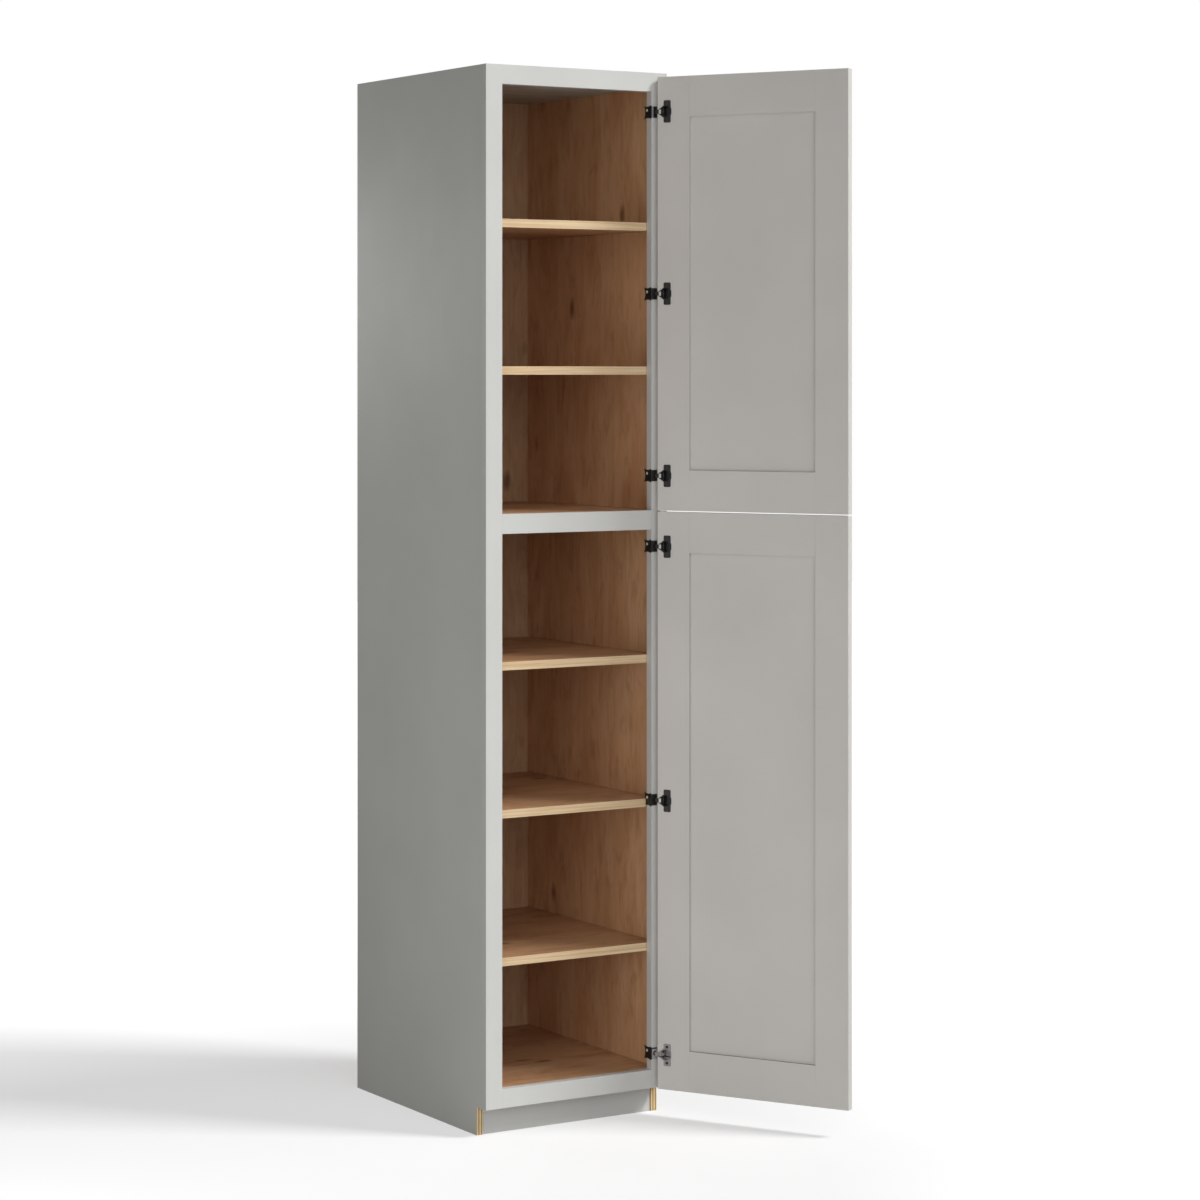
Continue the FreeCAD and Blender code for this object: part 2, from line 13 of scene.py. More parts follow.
import bmesh
import bpy
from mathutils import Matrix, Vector


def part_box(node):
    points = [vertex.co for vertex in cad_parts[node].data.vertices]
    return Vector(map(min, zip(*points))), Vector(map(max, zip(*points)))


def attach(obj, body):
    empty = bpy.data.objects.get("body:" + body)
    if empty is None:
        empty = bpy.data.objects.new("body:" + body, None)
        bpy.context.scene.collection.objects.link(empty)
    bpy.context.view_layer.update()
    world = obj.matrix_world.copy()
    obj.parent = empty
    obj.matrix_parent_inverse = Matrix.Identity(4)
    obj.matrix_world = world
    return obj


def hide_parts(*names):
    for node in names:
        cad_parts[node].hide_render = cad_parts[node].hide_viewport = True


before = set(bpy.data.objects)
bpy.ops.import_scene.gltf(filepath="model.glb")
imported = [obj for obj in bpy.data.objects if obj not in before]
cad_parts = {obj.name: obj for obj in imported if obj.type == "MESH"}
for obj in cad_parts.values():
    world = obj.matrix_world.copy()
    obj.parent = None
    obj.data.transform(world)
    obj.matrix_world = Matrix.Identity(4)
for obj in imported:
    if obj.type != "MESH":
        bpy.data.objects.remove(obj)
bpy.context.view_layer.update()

log = logging.getLogger("pantry_cabinet")

Triple = tuple[float, float, float]
Pair = tuple[float, float]

MM = 0.001
X, Y, Z = range(3)

# Directions. OPEN_DOOR runs along an open door, from its hinge edge to its free edge.
LEFT = (-1.0, 0.0, 0.0)
RIGHT = (1.0, 0.0, 0.0)
FRONT = (0.0, -1.0, 0.0)
UP = (0.0, 0.0, 1.0)
DOWN = (0.0, 0.0, -1.0)
OPEN_TURN = math.radians(60.0)
OPEN_DOOR = (math.cos(OPEN_TURN), -math.sin(OPEN_TURN), 0.0)

# The Mix node's sockets that go with colours.
MIX_SHARE, MIX_FIRST, MIX_SECOND, MIX_RESULT = 0, 6, 7, 2

# How squarely a surface has to face a direction before it takes that side's finish.
FACING = 0.5

DOORS = ("lower_door", "upper_door")
HINGES = range(1, 7)  # from the lowest to the highest


class Axis(Enum):
    """The direction that a board's grain runs in."""

    ACROSS = X
    UPRIGHT = Z


class Slot(Enum):
    """The slot that a finish fills."""

    PAINT = "paint"
    SIDE_PLY = "side_ply"
    NATURAL_PLY = "natural_ply"
    BLACK_STEEL = "black_steel"
    NICKEL = "nickel"
    ZINC_STEEL = "zinc_steel"


def same(value: float) -> Triple:
    """One value three times, as a grey or an even scale."""
    return value, value, value


def linear(red: int, green: int, blue: int) -> Triple:
    """Turn a screen colour into the linear values that a shader takes.

    Args:
        red: the red channel, up to 255.
        green: the green channel.
        blue: the blue channel.

    Returns:
        The three linear channels.
    """
    def one(value: int) -> float:
        """One channel, by the sRGB curve."""
        share = value / 255
        return share / 12.92 if share <= 0.04045 else ((share + 0.055) / 1.055) ** 2.4
    return one(red), one(green), one(blue)


class Signal:
    """A value from a shader node, which takes part in Python sums."""

    def __init__(self, graph: Graph, socket: bpy.types.NodeSocket) -> None:
        """Keep the node graph and the socket that gives the value."""
        self.graph = graph
        self.socket = socket

    def _math(self, operation: str, first: Signal | float, second: Signal | float) -> Signal:
        """Add a Math node.

        Args:
            operation: name of the node's operation.
            first: a Signal or number.
            second: a Signal or number.

        Returns:
            The node's value.
        """
        return self.graph.node("ShaderNodeMath", {"operation": operation}, {0: first, 1: second})

    def __add__(self, other: Signal | float) -> Signal:
        """Sum."""
        return self._math("ADD", self, other)

    def __sub__(self, other: Signal | float) -> Signal:
        """Difference."""
        return self._math("SUBTRACT", self, other)

    def __rsub__(self, other: Signal | float) -> Signal:
        """Difference from a number."""
        return self._math("SUBTRACT", other, self)

    def __mul__(self, other: Signal | float) -> Signal:
        """Product."""
        return self._math("MULTIPLY", self, other)

    def __truediv__(self, other: Signal | float) -> Signal:
        """Quotient."""
        return self._math("DIVIDE", self, other)

    def __pow__(self, other: Signal | float) -> Signal:
        """Power."""
        return self._math("POWER", self, other)

    def above(self, limit: float) -> Signal:
        """One where the value is above a limit, and zero elsewhere."""
        return self._math("GREATER_THAN", self, limit)

    def most(self, other: Signal | float) -> Signal:
        """The larger of two values."""
        return self._math("MAXIMUM", self, other)

    def sine(self) -> Signal:
        """Sine of an angle."""
        return self.graph.node("ShaderNodeMath", {"operation": "SINE"}, {0: self})


class Graph:
    """A tree of shader nodes."""

    def __init__(self, tree: bpy.types.NodeTree) -> None:
        """Take over an empty tree."""
        self.tree = tree
        self.tree.nodes.clear()

    def node(self, kind: str, settings: dict | None = None, inputs: dict | None = None,
             output: str | int = 0) -> Signal:
        """Add one node.

        Args:
            kind: the node's type.
            settings: the node's own settings, set first.
            inputs: values or Signals by socket name or number.
            output: name or number of the socket to return.

        Returns:
            The chosen output.
        """
        made = self.tree.nodes.new(kind)
        for key, value in (settings or {}).items():
            setattr(made, key, value)
        for key, value in (inputs or {}).items():
            self.feed(made.inputs[key], value)
        return Signal(self, made.outputs[output])

    def feed(self, socket: bpy.types.NodeSocket, value: Signal | float | tuple) -> None:
        """Link a Signal to a socket, or set the socket's own value.

        Args:
            socket: an input of a node in this tree.
            value: a Signal, number, colour or vector.
        """
        if isinstance(value, Signal):
            self.tree.links.new(value.socket, socket)
        else:
            socket.default_value = value

    def spread(self, value: Signal, low: float, high: float, to_low: float = 0.0,
               to_high: float = 1.0) -> Signal:
        """Stretch a range of a value to another range, with its ends held.

        Args:
            value: the value to stretch.
            low: where its range starts.
            high: where its range ends.
            to_low: the result at the start.
            to_high: the result at the end.

        Returns:
            The stretched value.
        """
        return self.node("ShaderNodeMapRange", {"clamp": True},
                         {"Value": value, "From Min": low, "From Max": high,
                          "To Min": to_low, "To Max": to_high})

    def window(self, value: Signal, low: float, high: float) -> Signal:
        """One where a value lies between two limits, and zero elsewhere."""
        return value.above(low) * (1.0 - value.above(high))

    def mix(self, share: Signal | float, first: Signal | Triple, second: Signal | Triple,
            how: str = "MIX") -> Signal:
        """Mix two colours, by the Mix node's sockets for colours.

        Args:
            share: how much of the second colour shows, from zero to one.
            first: a Signal or linear colour.
            second: a Signal or linear colour.
            how: the way of blending.

        Returns:
            The mixed colour.
        """
        colours = [value if isinstance(value, Signal) else (*value, 1.0)
                   for value in (first, second)]
        return self.node("ShaderNodeMix", {"data_type": "RGBA", "blend_type": how},
                         {MIX_SHARE: share, MIX_FIRST: colours[0], MIX_SECOND: colours[1]},
                         output=MIX_RESULT)


class Surface(Graph):
    """A material's nodes, on the piece's own coordinates."""

    def __init__(self, name: str) -> None:
        """Start a material with an empty principled surface.

        Args:
            name: the material's name.
        """
        self.material = bpy.data.materials.new(name)
        self.material.use_nodes = True
        super().__init__(self.material.node_tree)
        self.shader = self.tree.nodes.new("ShaderNodeBsdfPrincipled")
        output = self.tree.nodes.new("ShaderNodeOutputMaterial")
        self.tree.links.new(self.shader.outputs[0], output.inputs[0])
        self.place = self.node("ShaderNodeTexCoord", output="Object")

    def stretched(self, scale: Triple, shift: Triple) -> Signal:
        """The piece's coordinates, scaled and shifted."""
        return self.node("ShaderNodeMapping", None,
                         {"Vector": self.place, "Scale": scale, "Location": shift})

    def part(self, axis: int) -> Signal:
        """One of the piece's own coordinates."""
        return self.node("ShaderNodeSeparateXYZ", None, {0: self.place}, output=axis)

    def toward(self, way: Triple, least: float = FACING) -> Signal:
        """Find where the piece's surface faces a way.

        Args:
            way: the direction, of unit length.
            least: how squarely the surface has to face it, one being head-on.

        Returns:
            One there, and zero elsewhere.
        """
        direction = self.node("ShaderNodeTexCoord", output="Normal")
        return self.node("ShaderNodeVectorMath", {"operation": "DOT_PRODUCT"},
                         {0: direction, 1: way}, output="Value").above(least)

    def bump(self, height: Signal, strength: float, distance: float) -> Signal:
        """A normal that is tilted by a height."""
        return self.node("ShaderNodeBump", None,
                         {"Height": height, "Strength": strength, "Distance": distance},
                         output="Normal")

    def finish(self, **sockets: Signal | float) -> bpy.types.Material:
        """Feed the principled surface.

        Args:
            **sockets: values or Signals by socket name, with _ for a blank.

        Returns:
            The finished material.
        """
        for name, value in sockets.items():
            self.feed(self.shader.inputs[name.replace("_", " ")], value)
        return self.material


@dataclass(frozen=True)
class Pattern:
    """A noise, by its cells to the metre and the range of it that shows.

    The cells are along X, Y and Z, or across and along a grain until it is turned.
    """

    cells: Triple | Pair
    low: float = 0.0
    high: float = 1.0
    strength: float = 1.0
    detail: float = 2.0
    rough: float = 0.5
    twist: float = 0.0
    shift: float = 0.0

    def turned(self, grain: Axis) -> Pattern:
        """Lay the pattern along a grain.

        Args:
            grain: the direction that the grain runs in.

        Returns:
            The same pattern, with its cells along X, Y and Z.
        """
        across, lengthwise = self.cells
        return replace(self, cells=tuple(lengthwise if axis == grain.value else across
                                         for axis in (X, Y, Z)))

    def place(self, surface: Surface) -> Signal:
        """The coordinates that the pattern is laid on."""
        return surface.stretched(self.cells, same(self.shift))

    def noise(self, surface: Surface) -> Signal:
        """The noise alone, from zero to one."""
        return surface.node("ShaderNodeTexNoise", None,
                            {"Vector": self.place(surface), "Scale": 1.0,
                             "Detail": self.detail, "Roughness": self.rough,
                             "Distortion": self.twist})

    def between(self, surface: Surface, low: float, high: float) -> Signal:
        """The noise's range, stretched between two values."""
        return surface.spread(self.noise(surface), self.low, self.high, low, high)

    def mask(self, surface: Surface) -> Signal:
        """How much of the pattern shows, from zero to its strength."""
        return self.between(surface, 0.0, self.strength)


@dataclass(frozen=True)
class Paint:
    """Sprayed satin paint with a faint orange peel and slight unevenness."""

    name: str
    colour: Triple = linear(209, 209, 206)
    shade: Triple = linear(204, 204, 201)
    clouds: Pattern = Pattern(same(3.5), 0.35, 0.65, detail=3.0)
    smears: Pattern = Pattern((24.0, 24.0, 12.0), 0.3, 0.7)
    peel: Pattern = Pattern(same(520.0))
    roughness: Pair = (0.49, 0.52)
    gloss: float = 0.28
    peel_strength: float = 0.25
    peel_depth: float = 0.04 * MM

    def colours(self, surface: Surface) -> Signal:
        """The paint's colour over the surface."""
        return surface.mix(self.clouds.mask(surface), self.colour, self.shade)

    def sheen(self, surface: Surface) -> Signal:
        """The paint's roughness over the surface."""
        return self.smears.between(surface, *self.roughness)

    def material(self) -> bpy.types.Material:
        """Make the material.

        Returns:
            The finished paint.
        """
        surface = Surface(self.name)
        height = self.peel.noise(surface)
        return surface.finish(Base_Color=self.colours(surface), Roughness=self.sheen(surface),
                              Specular_IOR_Level=self.gloss,
                              Normal=surface.bump(height, self.peel_strength, self.peel_depth))


@dataclass(frozen=True)
class LightShadePaint(Paint):
    """Paint with another tone where its surface faces one way: painted light and shade."""

    way: Triple = UP
    # The default other tone is a painted shade, darker than the paint.
    light_shade_tone: Triple = linear(140, 138, 134)

    def colours(self, surface: Surface) -> Signal:
        """The paint's colour, with the painted light and shade where the surface faces the way.
        """
        return surface.mix(surface.toward(self.way), Paint.colours(self, surface), self.light_shade_tone)


@dataclass(frozen=True)
class Veneer:
    """Clear-coated birch veneer: broad streaks, fine fibres, pores and small knots."""

    grain: Axis
    contrast: float = 1.0
    light: Triple = linear(204, 166, 128)
    warm: Triple = linear(188, 143, 104)
    dark: Triple = linear(142, 98, 68)
    knot: Triple = linear(80, 46, 28)
    roughness: Pair = (0.44, 0.58)
    streaks: Pattern = Pattern((13.0, 3.2), 0.32, 0.68, detail=3.0, rough=0.55, twist=0.8,
                               shift=3.1)
    figure: Pattern = Pattern((34.0, 9.0), 0.5, 0.74, 0.42, detail=4.0, rough=0.6, twist=1.1,
                              shift=7.7)
    fibres: Pattern = Pattern((420.0, 7.0), 0.45, 0.8, 0.34, detail=4.0, rough=0.65)
    smooth_range: Pair = (0.3, 0.7)
    pores: Pattern = Pattern((900.0, 26.0), 0.68, 0.74, 0.5, detail=1.0, shift=1.9)
    knots: Pattern = Pattern((9.0, 4.5), 0.17, 0.08, 0.7, shift=5.3)
    wobble: Pattern = Pattern((60.0, 22.0))
    knot_wobble: float = 0.08

    def colours(self, surface: Surface) -> Signal:
        """Lay the veneer's figure over its ground.

        Args:
            surface: the material that is being made.

        Returns:
            The colour over the surface.
        """
        figure = replace(self.figure, strength=self.figure.strength * self.contrast)
        tone = surface.mix(self.streaks.turned(self.grain).mask(surface), self.light, self.warm)
        for pattern, colour in ((figure, self.dark), (self.fibres, self.dark),
                                (self.pores, self.knot)):
            tone = surface.mix(pattern.turned(self.grain).mask(surface), tone, colour)
        return surface.mix(self.knot_mask(surface), tone, self.knot)

    def knot_mask(self, surface: Surface) -> Signal:
        """Find the small knots, which are drawn out along the grain.

        Args:
            surface: the material that is being made.

        Returns:
            How strongly a knot shows.
        """
        far = surface.node("ShaderNodeTexVoronoi", {"feature": "F1"},
                           {"Vector": self.knots.turned(self.grain).place(surface),
                            "Scale": 1.0, "Randomness": 1.0}, output="Distance")
        far = far + self.wobble.turned(self.grain).noise(surface) * self.knot_wobble
        return surface.spread(far, self.knots.low, self.knots.high, 0.0, self.knots.strength)

    def height(self, surface: Surface) -> Signal:
        """How far the fibres stand up."""
        return self.fibres.turned(self.grain).noise(surface)

    def sheen(self, surface: Surface) -> Signal:
        """The veneer's roughness over the surface."""
        return surface.spread(self.height(surface), *self.smooth_range, *self.roughness)


@dataclass(frozen=True)
class BandedEdge:
    """The pale front edge of a board, with fine lines along it."""

    light: Triple = linear(228, 203, 167)
    dark: Triple = linear(201, 168, 122)
    blush: Triple = linear(186, 148, 100)
    lines: Pattern = Pattern((4.0, 260.0, 260.0), 0.35, 0.7, detail=3.0, rough=0.6, twist=0.4)
    clouds: Pattern = Pattern((9.0, 30.0, 30.0), 0.5, 0.8, 0.35)

    def colours(self, surface: Surface) -> Signal:
        """The edge's colour."""
        tone = surface.mix(self.lines.mask(surface), self.light, self.dark)
        return surface.mix(self.clouds.mask(surface), tone, self.blush)


@dataclass(frozen=True)
class PlyEdge:
    """A raw plywood edge: thin layers across a panel's thickness."""

    layer: float = 3.2 * MM
    wander: float = 0.5 * MM
    border: float = 0.25
    light: Triple = linear(243, 222, 178)
    dark: Triple = linear(172, 138, 84)
    rubbed: Triple = linear(166, 130, 82)
    wobble: Pattern = Pattern((60.0, 60.0, 30.0))
    fuzz: Pattern = Pattern((500.0, 500.0, 60.0), 0.45, 0.75, 0.3)

    def colours(self, surface: Surface) -> Signal:
        """Alternate two tones with the distance across the panel.

        Args:
            surface: the material that is being made.

        Returns:
            The colour over the edge.
        """
        across = surface.part(X) + self.wobble.noise(surface) * self.wander
        wave = (across / self.layer * math.pi).sine()
        layers = surface.spread(wave, -self.border, self.border)
        tone = surface.mix(layers, self.light, self.dark)
        return surface.mix(self.fuzz.mask(surface), tone, self.rubbed)


# Paints, by their colour and their shade. The sides' paint is darker than the frame's: painted
# shade on the same grey paint.
SHADED_SIDE_PAINT = (linear(183, 183, 178), linear(178, 178, 173))
DOOR_PAINT = (linear(216, 213, 208), linear(211, 208, 203))


@dataclass(frozen=True)
class SidePanelFinish:
    """A case side: painted outside, veneered inside, with raw edges."""

    name: str
    outward: Triple
    # The outside takes the sides' darker paint, which is painted shade.
    paint: Paint = Paint("shaded_side_paint", *SHADED_SIDE_PAINT)
    veneer: Veneer = Veneer(Axis.UPRIGHT)
    stain: Triple = (1.2, 1.22, 1.24)
    grain_strength: float = 0.25
    grain_depth: float = 0.05 * MM

    def material(self) -> bpy.types.Material:
        """Make the material, which picks the layer by where the surface faces.

        Returns:
            The finished side.
        """
        surface = Surface(self.name)
        outside = surface.toward(self.outward)
        inside = surface.toward(tuple(-share for share in self.outward))
        # Here the name holds only the unpainted veneer and raw edges.
        bare_and_reflection = 1.0 - outside
        tone = surface.mix(1.0, self.veneer.colours(surface), self.stain, "MULTIPLY")
        colour = surface.mix(inside, PlyEdge().colours(surface), tone)
        colour = surface.mix(outside, colour, self.paint.colours(surface))
        rough = self.veneer.sheen(surface) * bare_and_reflection + self.paint.sheen(surface) * outside
        height = self.veneer.height(surface) * bare_and_reflection + self.paint.peel.noise(surface) * outside
        return surface.finish(Base_Color=colour, Roughness=rough,
                              Specular_IOR_Level=self.paint.gloss,
                              Normal=surface.bump(height, self.grain_strength, self.grain_depth))


@dataclass(frozen=True)
class BoardFinish:
    """A veneered board, with a pale band on its front edge."""

    name: str
    grain: Axis = Axis.ACROSS
    stain: Triple = (0.98, 0.96, 0.94)
    under: Triple = (0.98, 0.96, 0.94)
    banded: bool = True
    contrast: float = 1.0
    grain_strength: float = 0.3
    grain_depth: float = 0.05 * MM

    def material(self) -> bpy.types.Material:
        """Make the material.

        Returns:
            The finished board.
        """
        surface = Surface(self.name)
        veneer = Veneer(self.grain, self.contrast)
        # Downward faces take the under tint; on the top panel it is painted light, a greyer and
        # lighter ceiling.
        stain = surface.mix(surface.toward(DOWN), self.stain, self.under)
        colour = surface.mix(1.0, veneer.colours(surface), stain, "MULTIPLY")
        if self.banded:
            colour = surface.mix(surface.toward(FRONT), colour, BandedEdge().colours(surface))
        return surface.finish(Base_Color=colour, Roughness=veneer.sheen(surface),
                              Normal=surface.bump(veneer.height(surface), self.grain_strength,
                                                  self.grain_depth))


@dataclass(frozen=True)
class Metal:
    """Plated steel with faint handling marks, or black steel whose colour is a painted dark
    reflection.
    """

    name: str
    colour: Triple
    wear: Triple
    metallic: float
    roughness: Pair
    marks: Pattern = Pattern(same(240.0), 0.55, 0.8, 0.6, detail=4.0, rough=0.6)
    smears: Pattern = Pattern(same(240.0), 0.3, 0.7, detail=4.0, rough=0.6)
    scratches: Pattern = Pattern((300.0, 300.0, 2600.0))
    scratch_strength: float = 0.12
    scratch_depth: float = 0.02 * MM

    def colours(self, surface: Surface) -> Signal:
        """The steel's colour over the surface."""
        return surface.mix(self.marks.mask(surface), self.colour, self.wear)

    def shine(self, surface: Surface) -> Signal | float:
        """How metallic the surface is."""
        return self.metallic

    def material(self) -> bpy.types.Material:
        """Make the material.

        Returns:
            The finished steel.
        """
        surface = Surface(self.name)
        height = self.scratches.noise(surface)
        return surface.finish(Base_Color=self.colours(surface),
                              Roughness=self.smears.between(surface, *self.roughness),
                              Metallic=self.shine(surface),
                              Normal=surface.bump(height, self.scratch_strength,
                                                  self.scratch_depth))


# Steels, by their colour, their wear, how metallic they are and their roughness.
# DARK_REFLECTION_STEEL and NICKEL are copies of the hinges' one plating: black is a painted dark
# reflection, the pale nickel a painted lit reflection.
DARK_REFLECTION_STEEL = (linear(23, 20, 20), linear(50, 47, 46), 0.15, (0.37, 0.53))
NICKEL = (linear(172, 168, 168), linear(152, 148, 148), 0.25, (0.35, 0.51))
# The zinc is pale and hardly metallic so the screws show bright: zinc plating with a painted
# highlight.
ZINC_AND_HIGHLIGHT = (linear(226, 226, 222), linear(196, 195, 190), 0.1, (0.23, 0.39))

# Where an open door's hinge edge lies along OPEN_DOOR, and the frame opening's right edge.
HINGE_EDGE = 613.362 * MM
STILE_EDGE = 188.6 * MM


def door_reach(surface: Surface) -> Signal:
    """The distance across the open door from its hinge edge."""
    return surface.part(X) * OPEN_DOOR[X] + surface.part(Y) * OPEN_DOOR[Y] - HINGE_EDGE


@dataclass(frozen=True)
class LinkSteel(Metal):
    """Black steel, a painted dark reflection, with a bright plated spring between a link's arms.
    """

    middle: float = 0.0
    bright: Triple = linear(206, 206, 202)
    start: float = 4.0 * MM
    end: float = 9.6 * MM
    height: float = 4.6 * MM
    bright_shine: float = 0.7
    dull_share: float = 0.3

    def spring(self, surface: Surface) -> Signal:
        """One on the spring."""
        rise = surface.window(surface.part(Z), self.middle - self.height,
                              self.middle + self.height)
        return surface.window(door_reach(surface), self.start, self.end) * rise

    def colours(self, surface: Surface) -> Signal:
        """Black steel with the bright spring."""
        return surface.mix(self.spring(surface), Metal.colours(self, surface), self.bright)

    def shine(self, surface: Surface) -> Signal:
        """Metallic on the spring, and hardly so elsewhere."""
        return self.spring(surface) * self.bright_shine + self.metallic * self.dull_share


@dataclass(frozen=True)
class RibShadedPlate(Metal):
    """Nickel plate with painted shading of upright ribs and a painted shadow along one long
    slot.
    """

    middle: float = 0.0
    pitch: float = 3.1 * MM
    # The ribs' darker tone is painted shade.
    rib_shade: Triple = linear(116, 112, 113)
    rib_border: float = 0.5
    slot_start: float = 2.0 * MM
    slot_end: float = 27.6 * MM
    slot_drop: float = 4.2 * MM
    slot_slope: float = 0.118
    slot_width: float = 1.3 * MM
    # The slot's dark tone is a painted shadow.
    slot_shadow: Triple = linear(26, 25, 24)

    def colours(self, surface: Surface) -> Signal:
        """Paint the shading of the ribs and the shadow of the slot on the nickel.

        Args:
            surface: the material that is being made.

        Returns:
            The colour over the plate.
        """
        reach = door_reach(surface)
        wave = (reach * (2 * math.pi / self.pitch)).sine()
        ribs = surface.spread(wave, 0.0, self.rib_border)
        tone = surface.mix(ribs, Metal.colours(self, surface), self.rib_shade)
        fall = (reach - self.slot_start) * self.slot_slope
        line = surface.part(Z) - (self.middle - self.slot_drop) + fall
        slot = surface.window(line, -self.slot_width, self.slot_width) \
            * surface.window(reach, self.slot_start, self.slot_end)
        return surface.mix(slot, tone, self.slot_shadow)


@dataclass(frozen=True)
class ReflectingFrontBracket(Metal):
    """Black steel with a painted reflection on its front block, inside a dark bar and a dark
    ring.
    """

    middle: float = 0.0
    # This light tone is a painted reflection of the lit floor on the plated front block.
    bare_and_reflection: Triple = linear(176, 176, 172)
    start: float = 0.6 * MM
    bar: float = 9.6 * MM
    ring: float = 5.2 * MM
    ring_width: float = 2.7 * MM
    ring_reach: float = 8.6 * MM

    def colours(self, surface: Surface) -> Signal:
        """Lay the block's painted reflection on the black steel.

        Args:
            surface: the material that is being made.

        Returns:
            The colour over the bracket.
        """
        rise = surface.part(Z) - self.middle
        across = surface.part(X) - STILE_EDGE
        bare_and_reflection = surface.toward(FRONT) * across.above(self.start) * (1.0 - rise.above(self.bar))
        sideways = across - self.ring_reach
        radius = (rise * rise + sideways * sideways) ** 0.5
        ring = surface.window(radius, self.ring - self.ring_width, self.ring)
        return surface.mix(bare_and_reflection * (1.0 - ring), Metal.colours(self, surface), self.bare_and_reflection)


@dataclass(frozen=True)
class BendHighlightBracket(Metal):
    """Black steel with one painted highlight, a bright strip at the front bend."""

    start: float = 0.2 * MM
    end: float = 4.3 * MM
    facing: float = 0.3
    # The strip's bright tone is a painted highlight on the bend.
    bright: Triple = linear(142, 139, 147)

    def colours(self, surface: Surface) -> Signal:
        """Black steel with the painted highlight strip."""
        highlight_mask = surface.window(surface.part(X) - STILE_EDGE, self.start, self.end) \
            * surface.toward(FRONT, self.facing)
        return surface.mix(highlight_mask, Metal.colours(self, surface), self.bright)


def hinge_middle(number: int) -> float:
    """The height of a hinge's middle."""
    low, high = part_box("hinge_bracket_%d" % number)
    return (low[Z] + high[Z]) / 2


class Finishes:
    """Every material of the cabinet, made once."""

    def __init__(self) -> None:
        """Make the materials."""
        self.slots: dict[str, str] = {}
        self._paints()
        self._woods()
        self._steels()

    def _add(self, slot: Slot,
             finish: Paint | SidePanelFinish | BoardFinish | Metal) -> bpy.types.Material:
        """Make one finish and note its slot.

        Args:
            slot: the slot that the finish belongs to.
            finish: a finish that can make its material.

        Returns:
            The material.
        """
        material = finish.material()
        self.slots[material.name] = slot.value
        return material

    def _paints(self) -> None:
        """Make the face frame's and the doors' paints."""
        self.paint = self._add(Slot.PAINT, Paint("satin_grey_paint"))
        # The stiles' outer side faces take the sides' darker tone: painted shade, as on the
        # sides.
        self.stiles = {
            name: self._add(Slot.PAINT, LightShadePaint(name + "_paint", way=way,
                                                     light_shade_tone=SHADED_SIDE_PAINT[0]))
            for name, way in (("left_stile", LEFT), ("right_stile", RIGHT))}
        self.door_paint = self._add(Slot.PAINT, Paint("satin_door_paint", *DOOR_PAINT))
        # The doors' recess walls carry painted light and shade: painted shade on the hinge
        # stile's and the bottom rail's walls, painted light on the top rail's wall.
        recess_wall_light_shade = {"hinge_stile": (OPEN_DOOR, linear(196, 194, 190)),
                        "bottom_rail": (UP, linear(140, 138, 134)),
                        "top_rail": (DOWN, linear(243, 240, 236))}
        self.door_members = {
            name: self._add(Slot.PAINT, LightShadePaint(name + "_paint", *DOOR_PAINT, way=way,
                                                     light_shade_tone=light_shade_tone))
            for name, (way, light_shade_tone) in recess_wall_light_shade.items()}

    def _woods(self) -> None:
        """Make the sides' and the boards' finishes."""
        self.left_side = self._add(Slot.SIDE_PLY, SidePanelFinish("left_side_finish", LEFT))
        self.right_side = self._add(Slot.SIDE_PLY, SidePanelFinish("right_side_finish", RIGHT))
        self.board = self._add(Slot.NATURAL_PLY, BoardFinish("shelf_veneer", contrast=1.5))
        # The underside tint (0.85, 1.5, 2.6) is painted light on the top's ceiling.
        self.top = self._add(Slot.NATURAL_PLY, BoardFinish("top_veneer", under=(0.85, 1.5, 2.6)))
        self.back = self._add(Slot.NATURAL_PLY,
                              BoardFinish("back_veneer", Axis.UPRIGHT, banded=False,
                                          stain=(0.96, 1.02, 1.06)))

    def _steels(self) -> None:
        """Make the hinges' and the screws' finishes."""
        lowest, highest = HINGES[0], HINGES[-1]
        middle = hinge_middle(lowest)
        self.black = self._add(Slot.BLACK_STEEL, Metal("dark_reflection_steel", *DARK_REFLECTION_STEEL))
        self.zinc = self._add(Slot.ZINC_STEEL, Metal("zinc_plated_steel", *ZINC_AND_HIGHLIGHT))
        self.nickel = self._add(Slot.NICKEL,
                                RibShadedPlate("nickel_plated_steel", *NICKEL, middle=middle))
        reflecting_front = ReflectingFrontBracket("reflecting_front_bracket_steel", *DARK_REFLECTION_STEEL, middle=middle)
        highlight_front = BendHighlightBracket("bend_highlight_bracket_steel", *DARK_REFLECTION_STEEL)
        self.brackets = {lowest: self._add(Slot.BLACK_STEEL, reflecting_front),
                         highest: self._add(Slot.BLACK_STEEL, highlight_front)}
        self.links = {
            number: self._add(Slot.BLACK_STEEL, LinkSteel("link_steel_%d" % number, *DARK_REFLECTION_STEEL,
                                                          middle=hinge_middle(number)))
            for number in HINGES[1:]}
        # The lowest hinge shows the nickel lit; the others take the black, a painted dark
        # reflection.
        self.links[lowest] = self.nickel


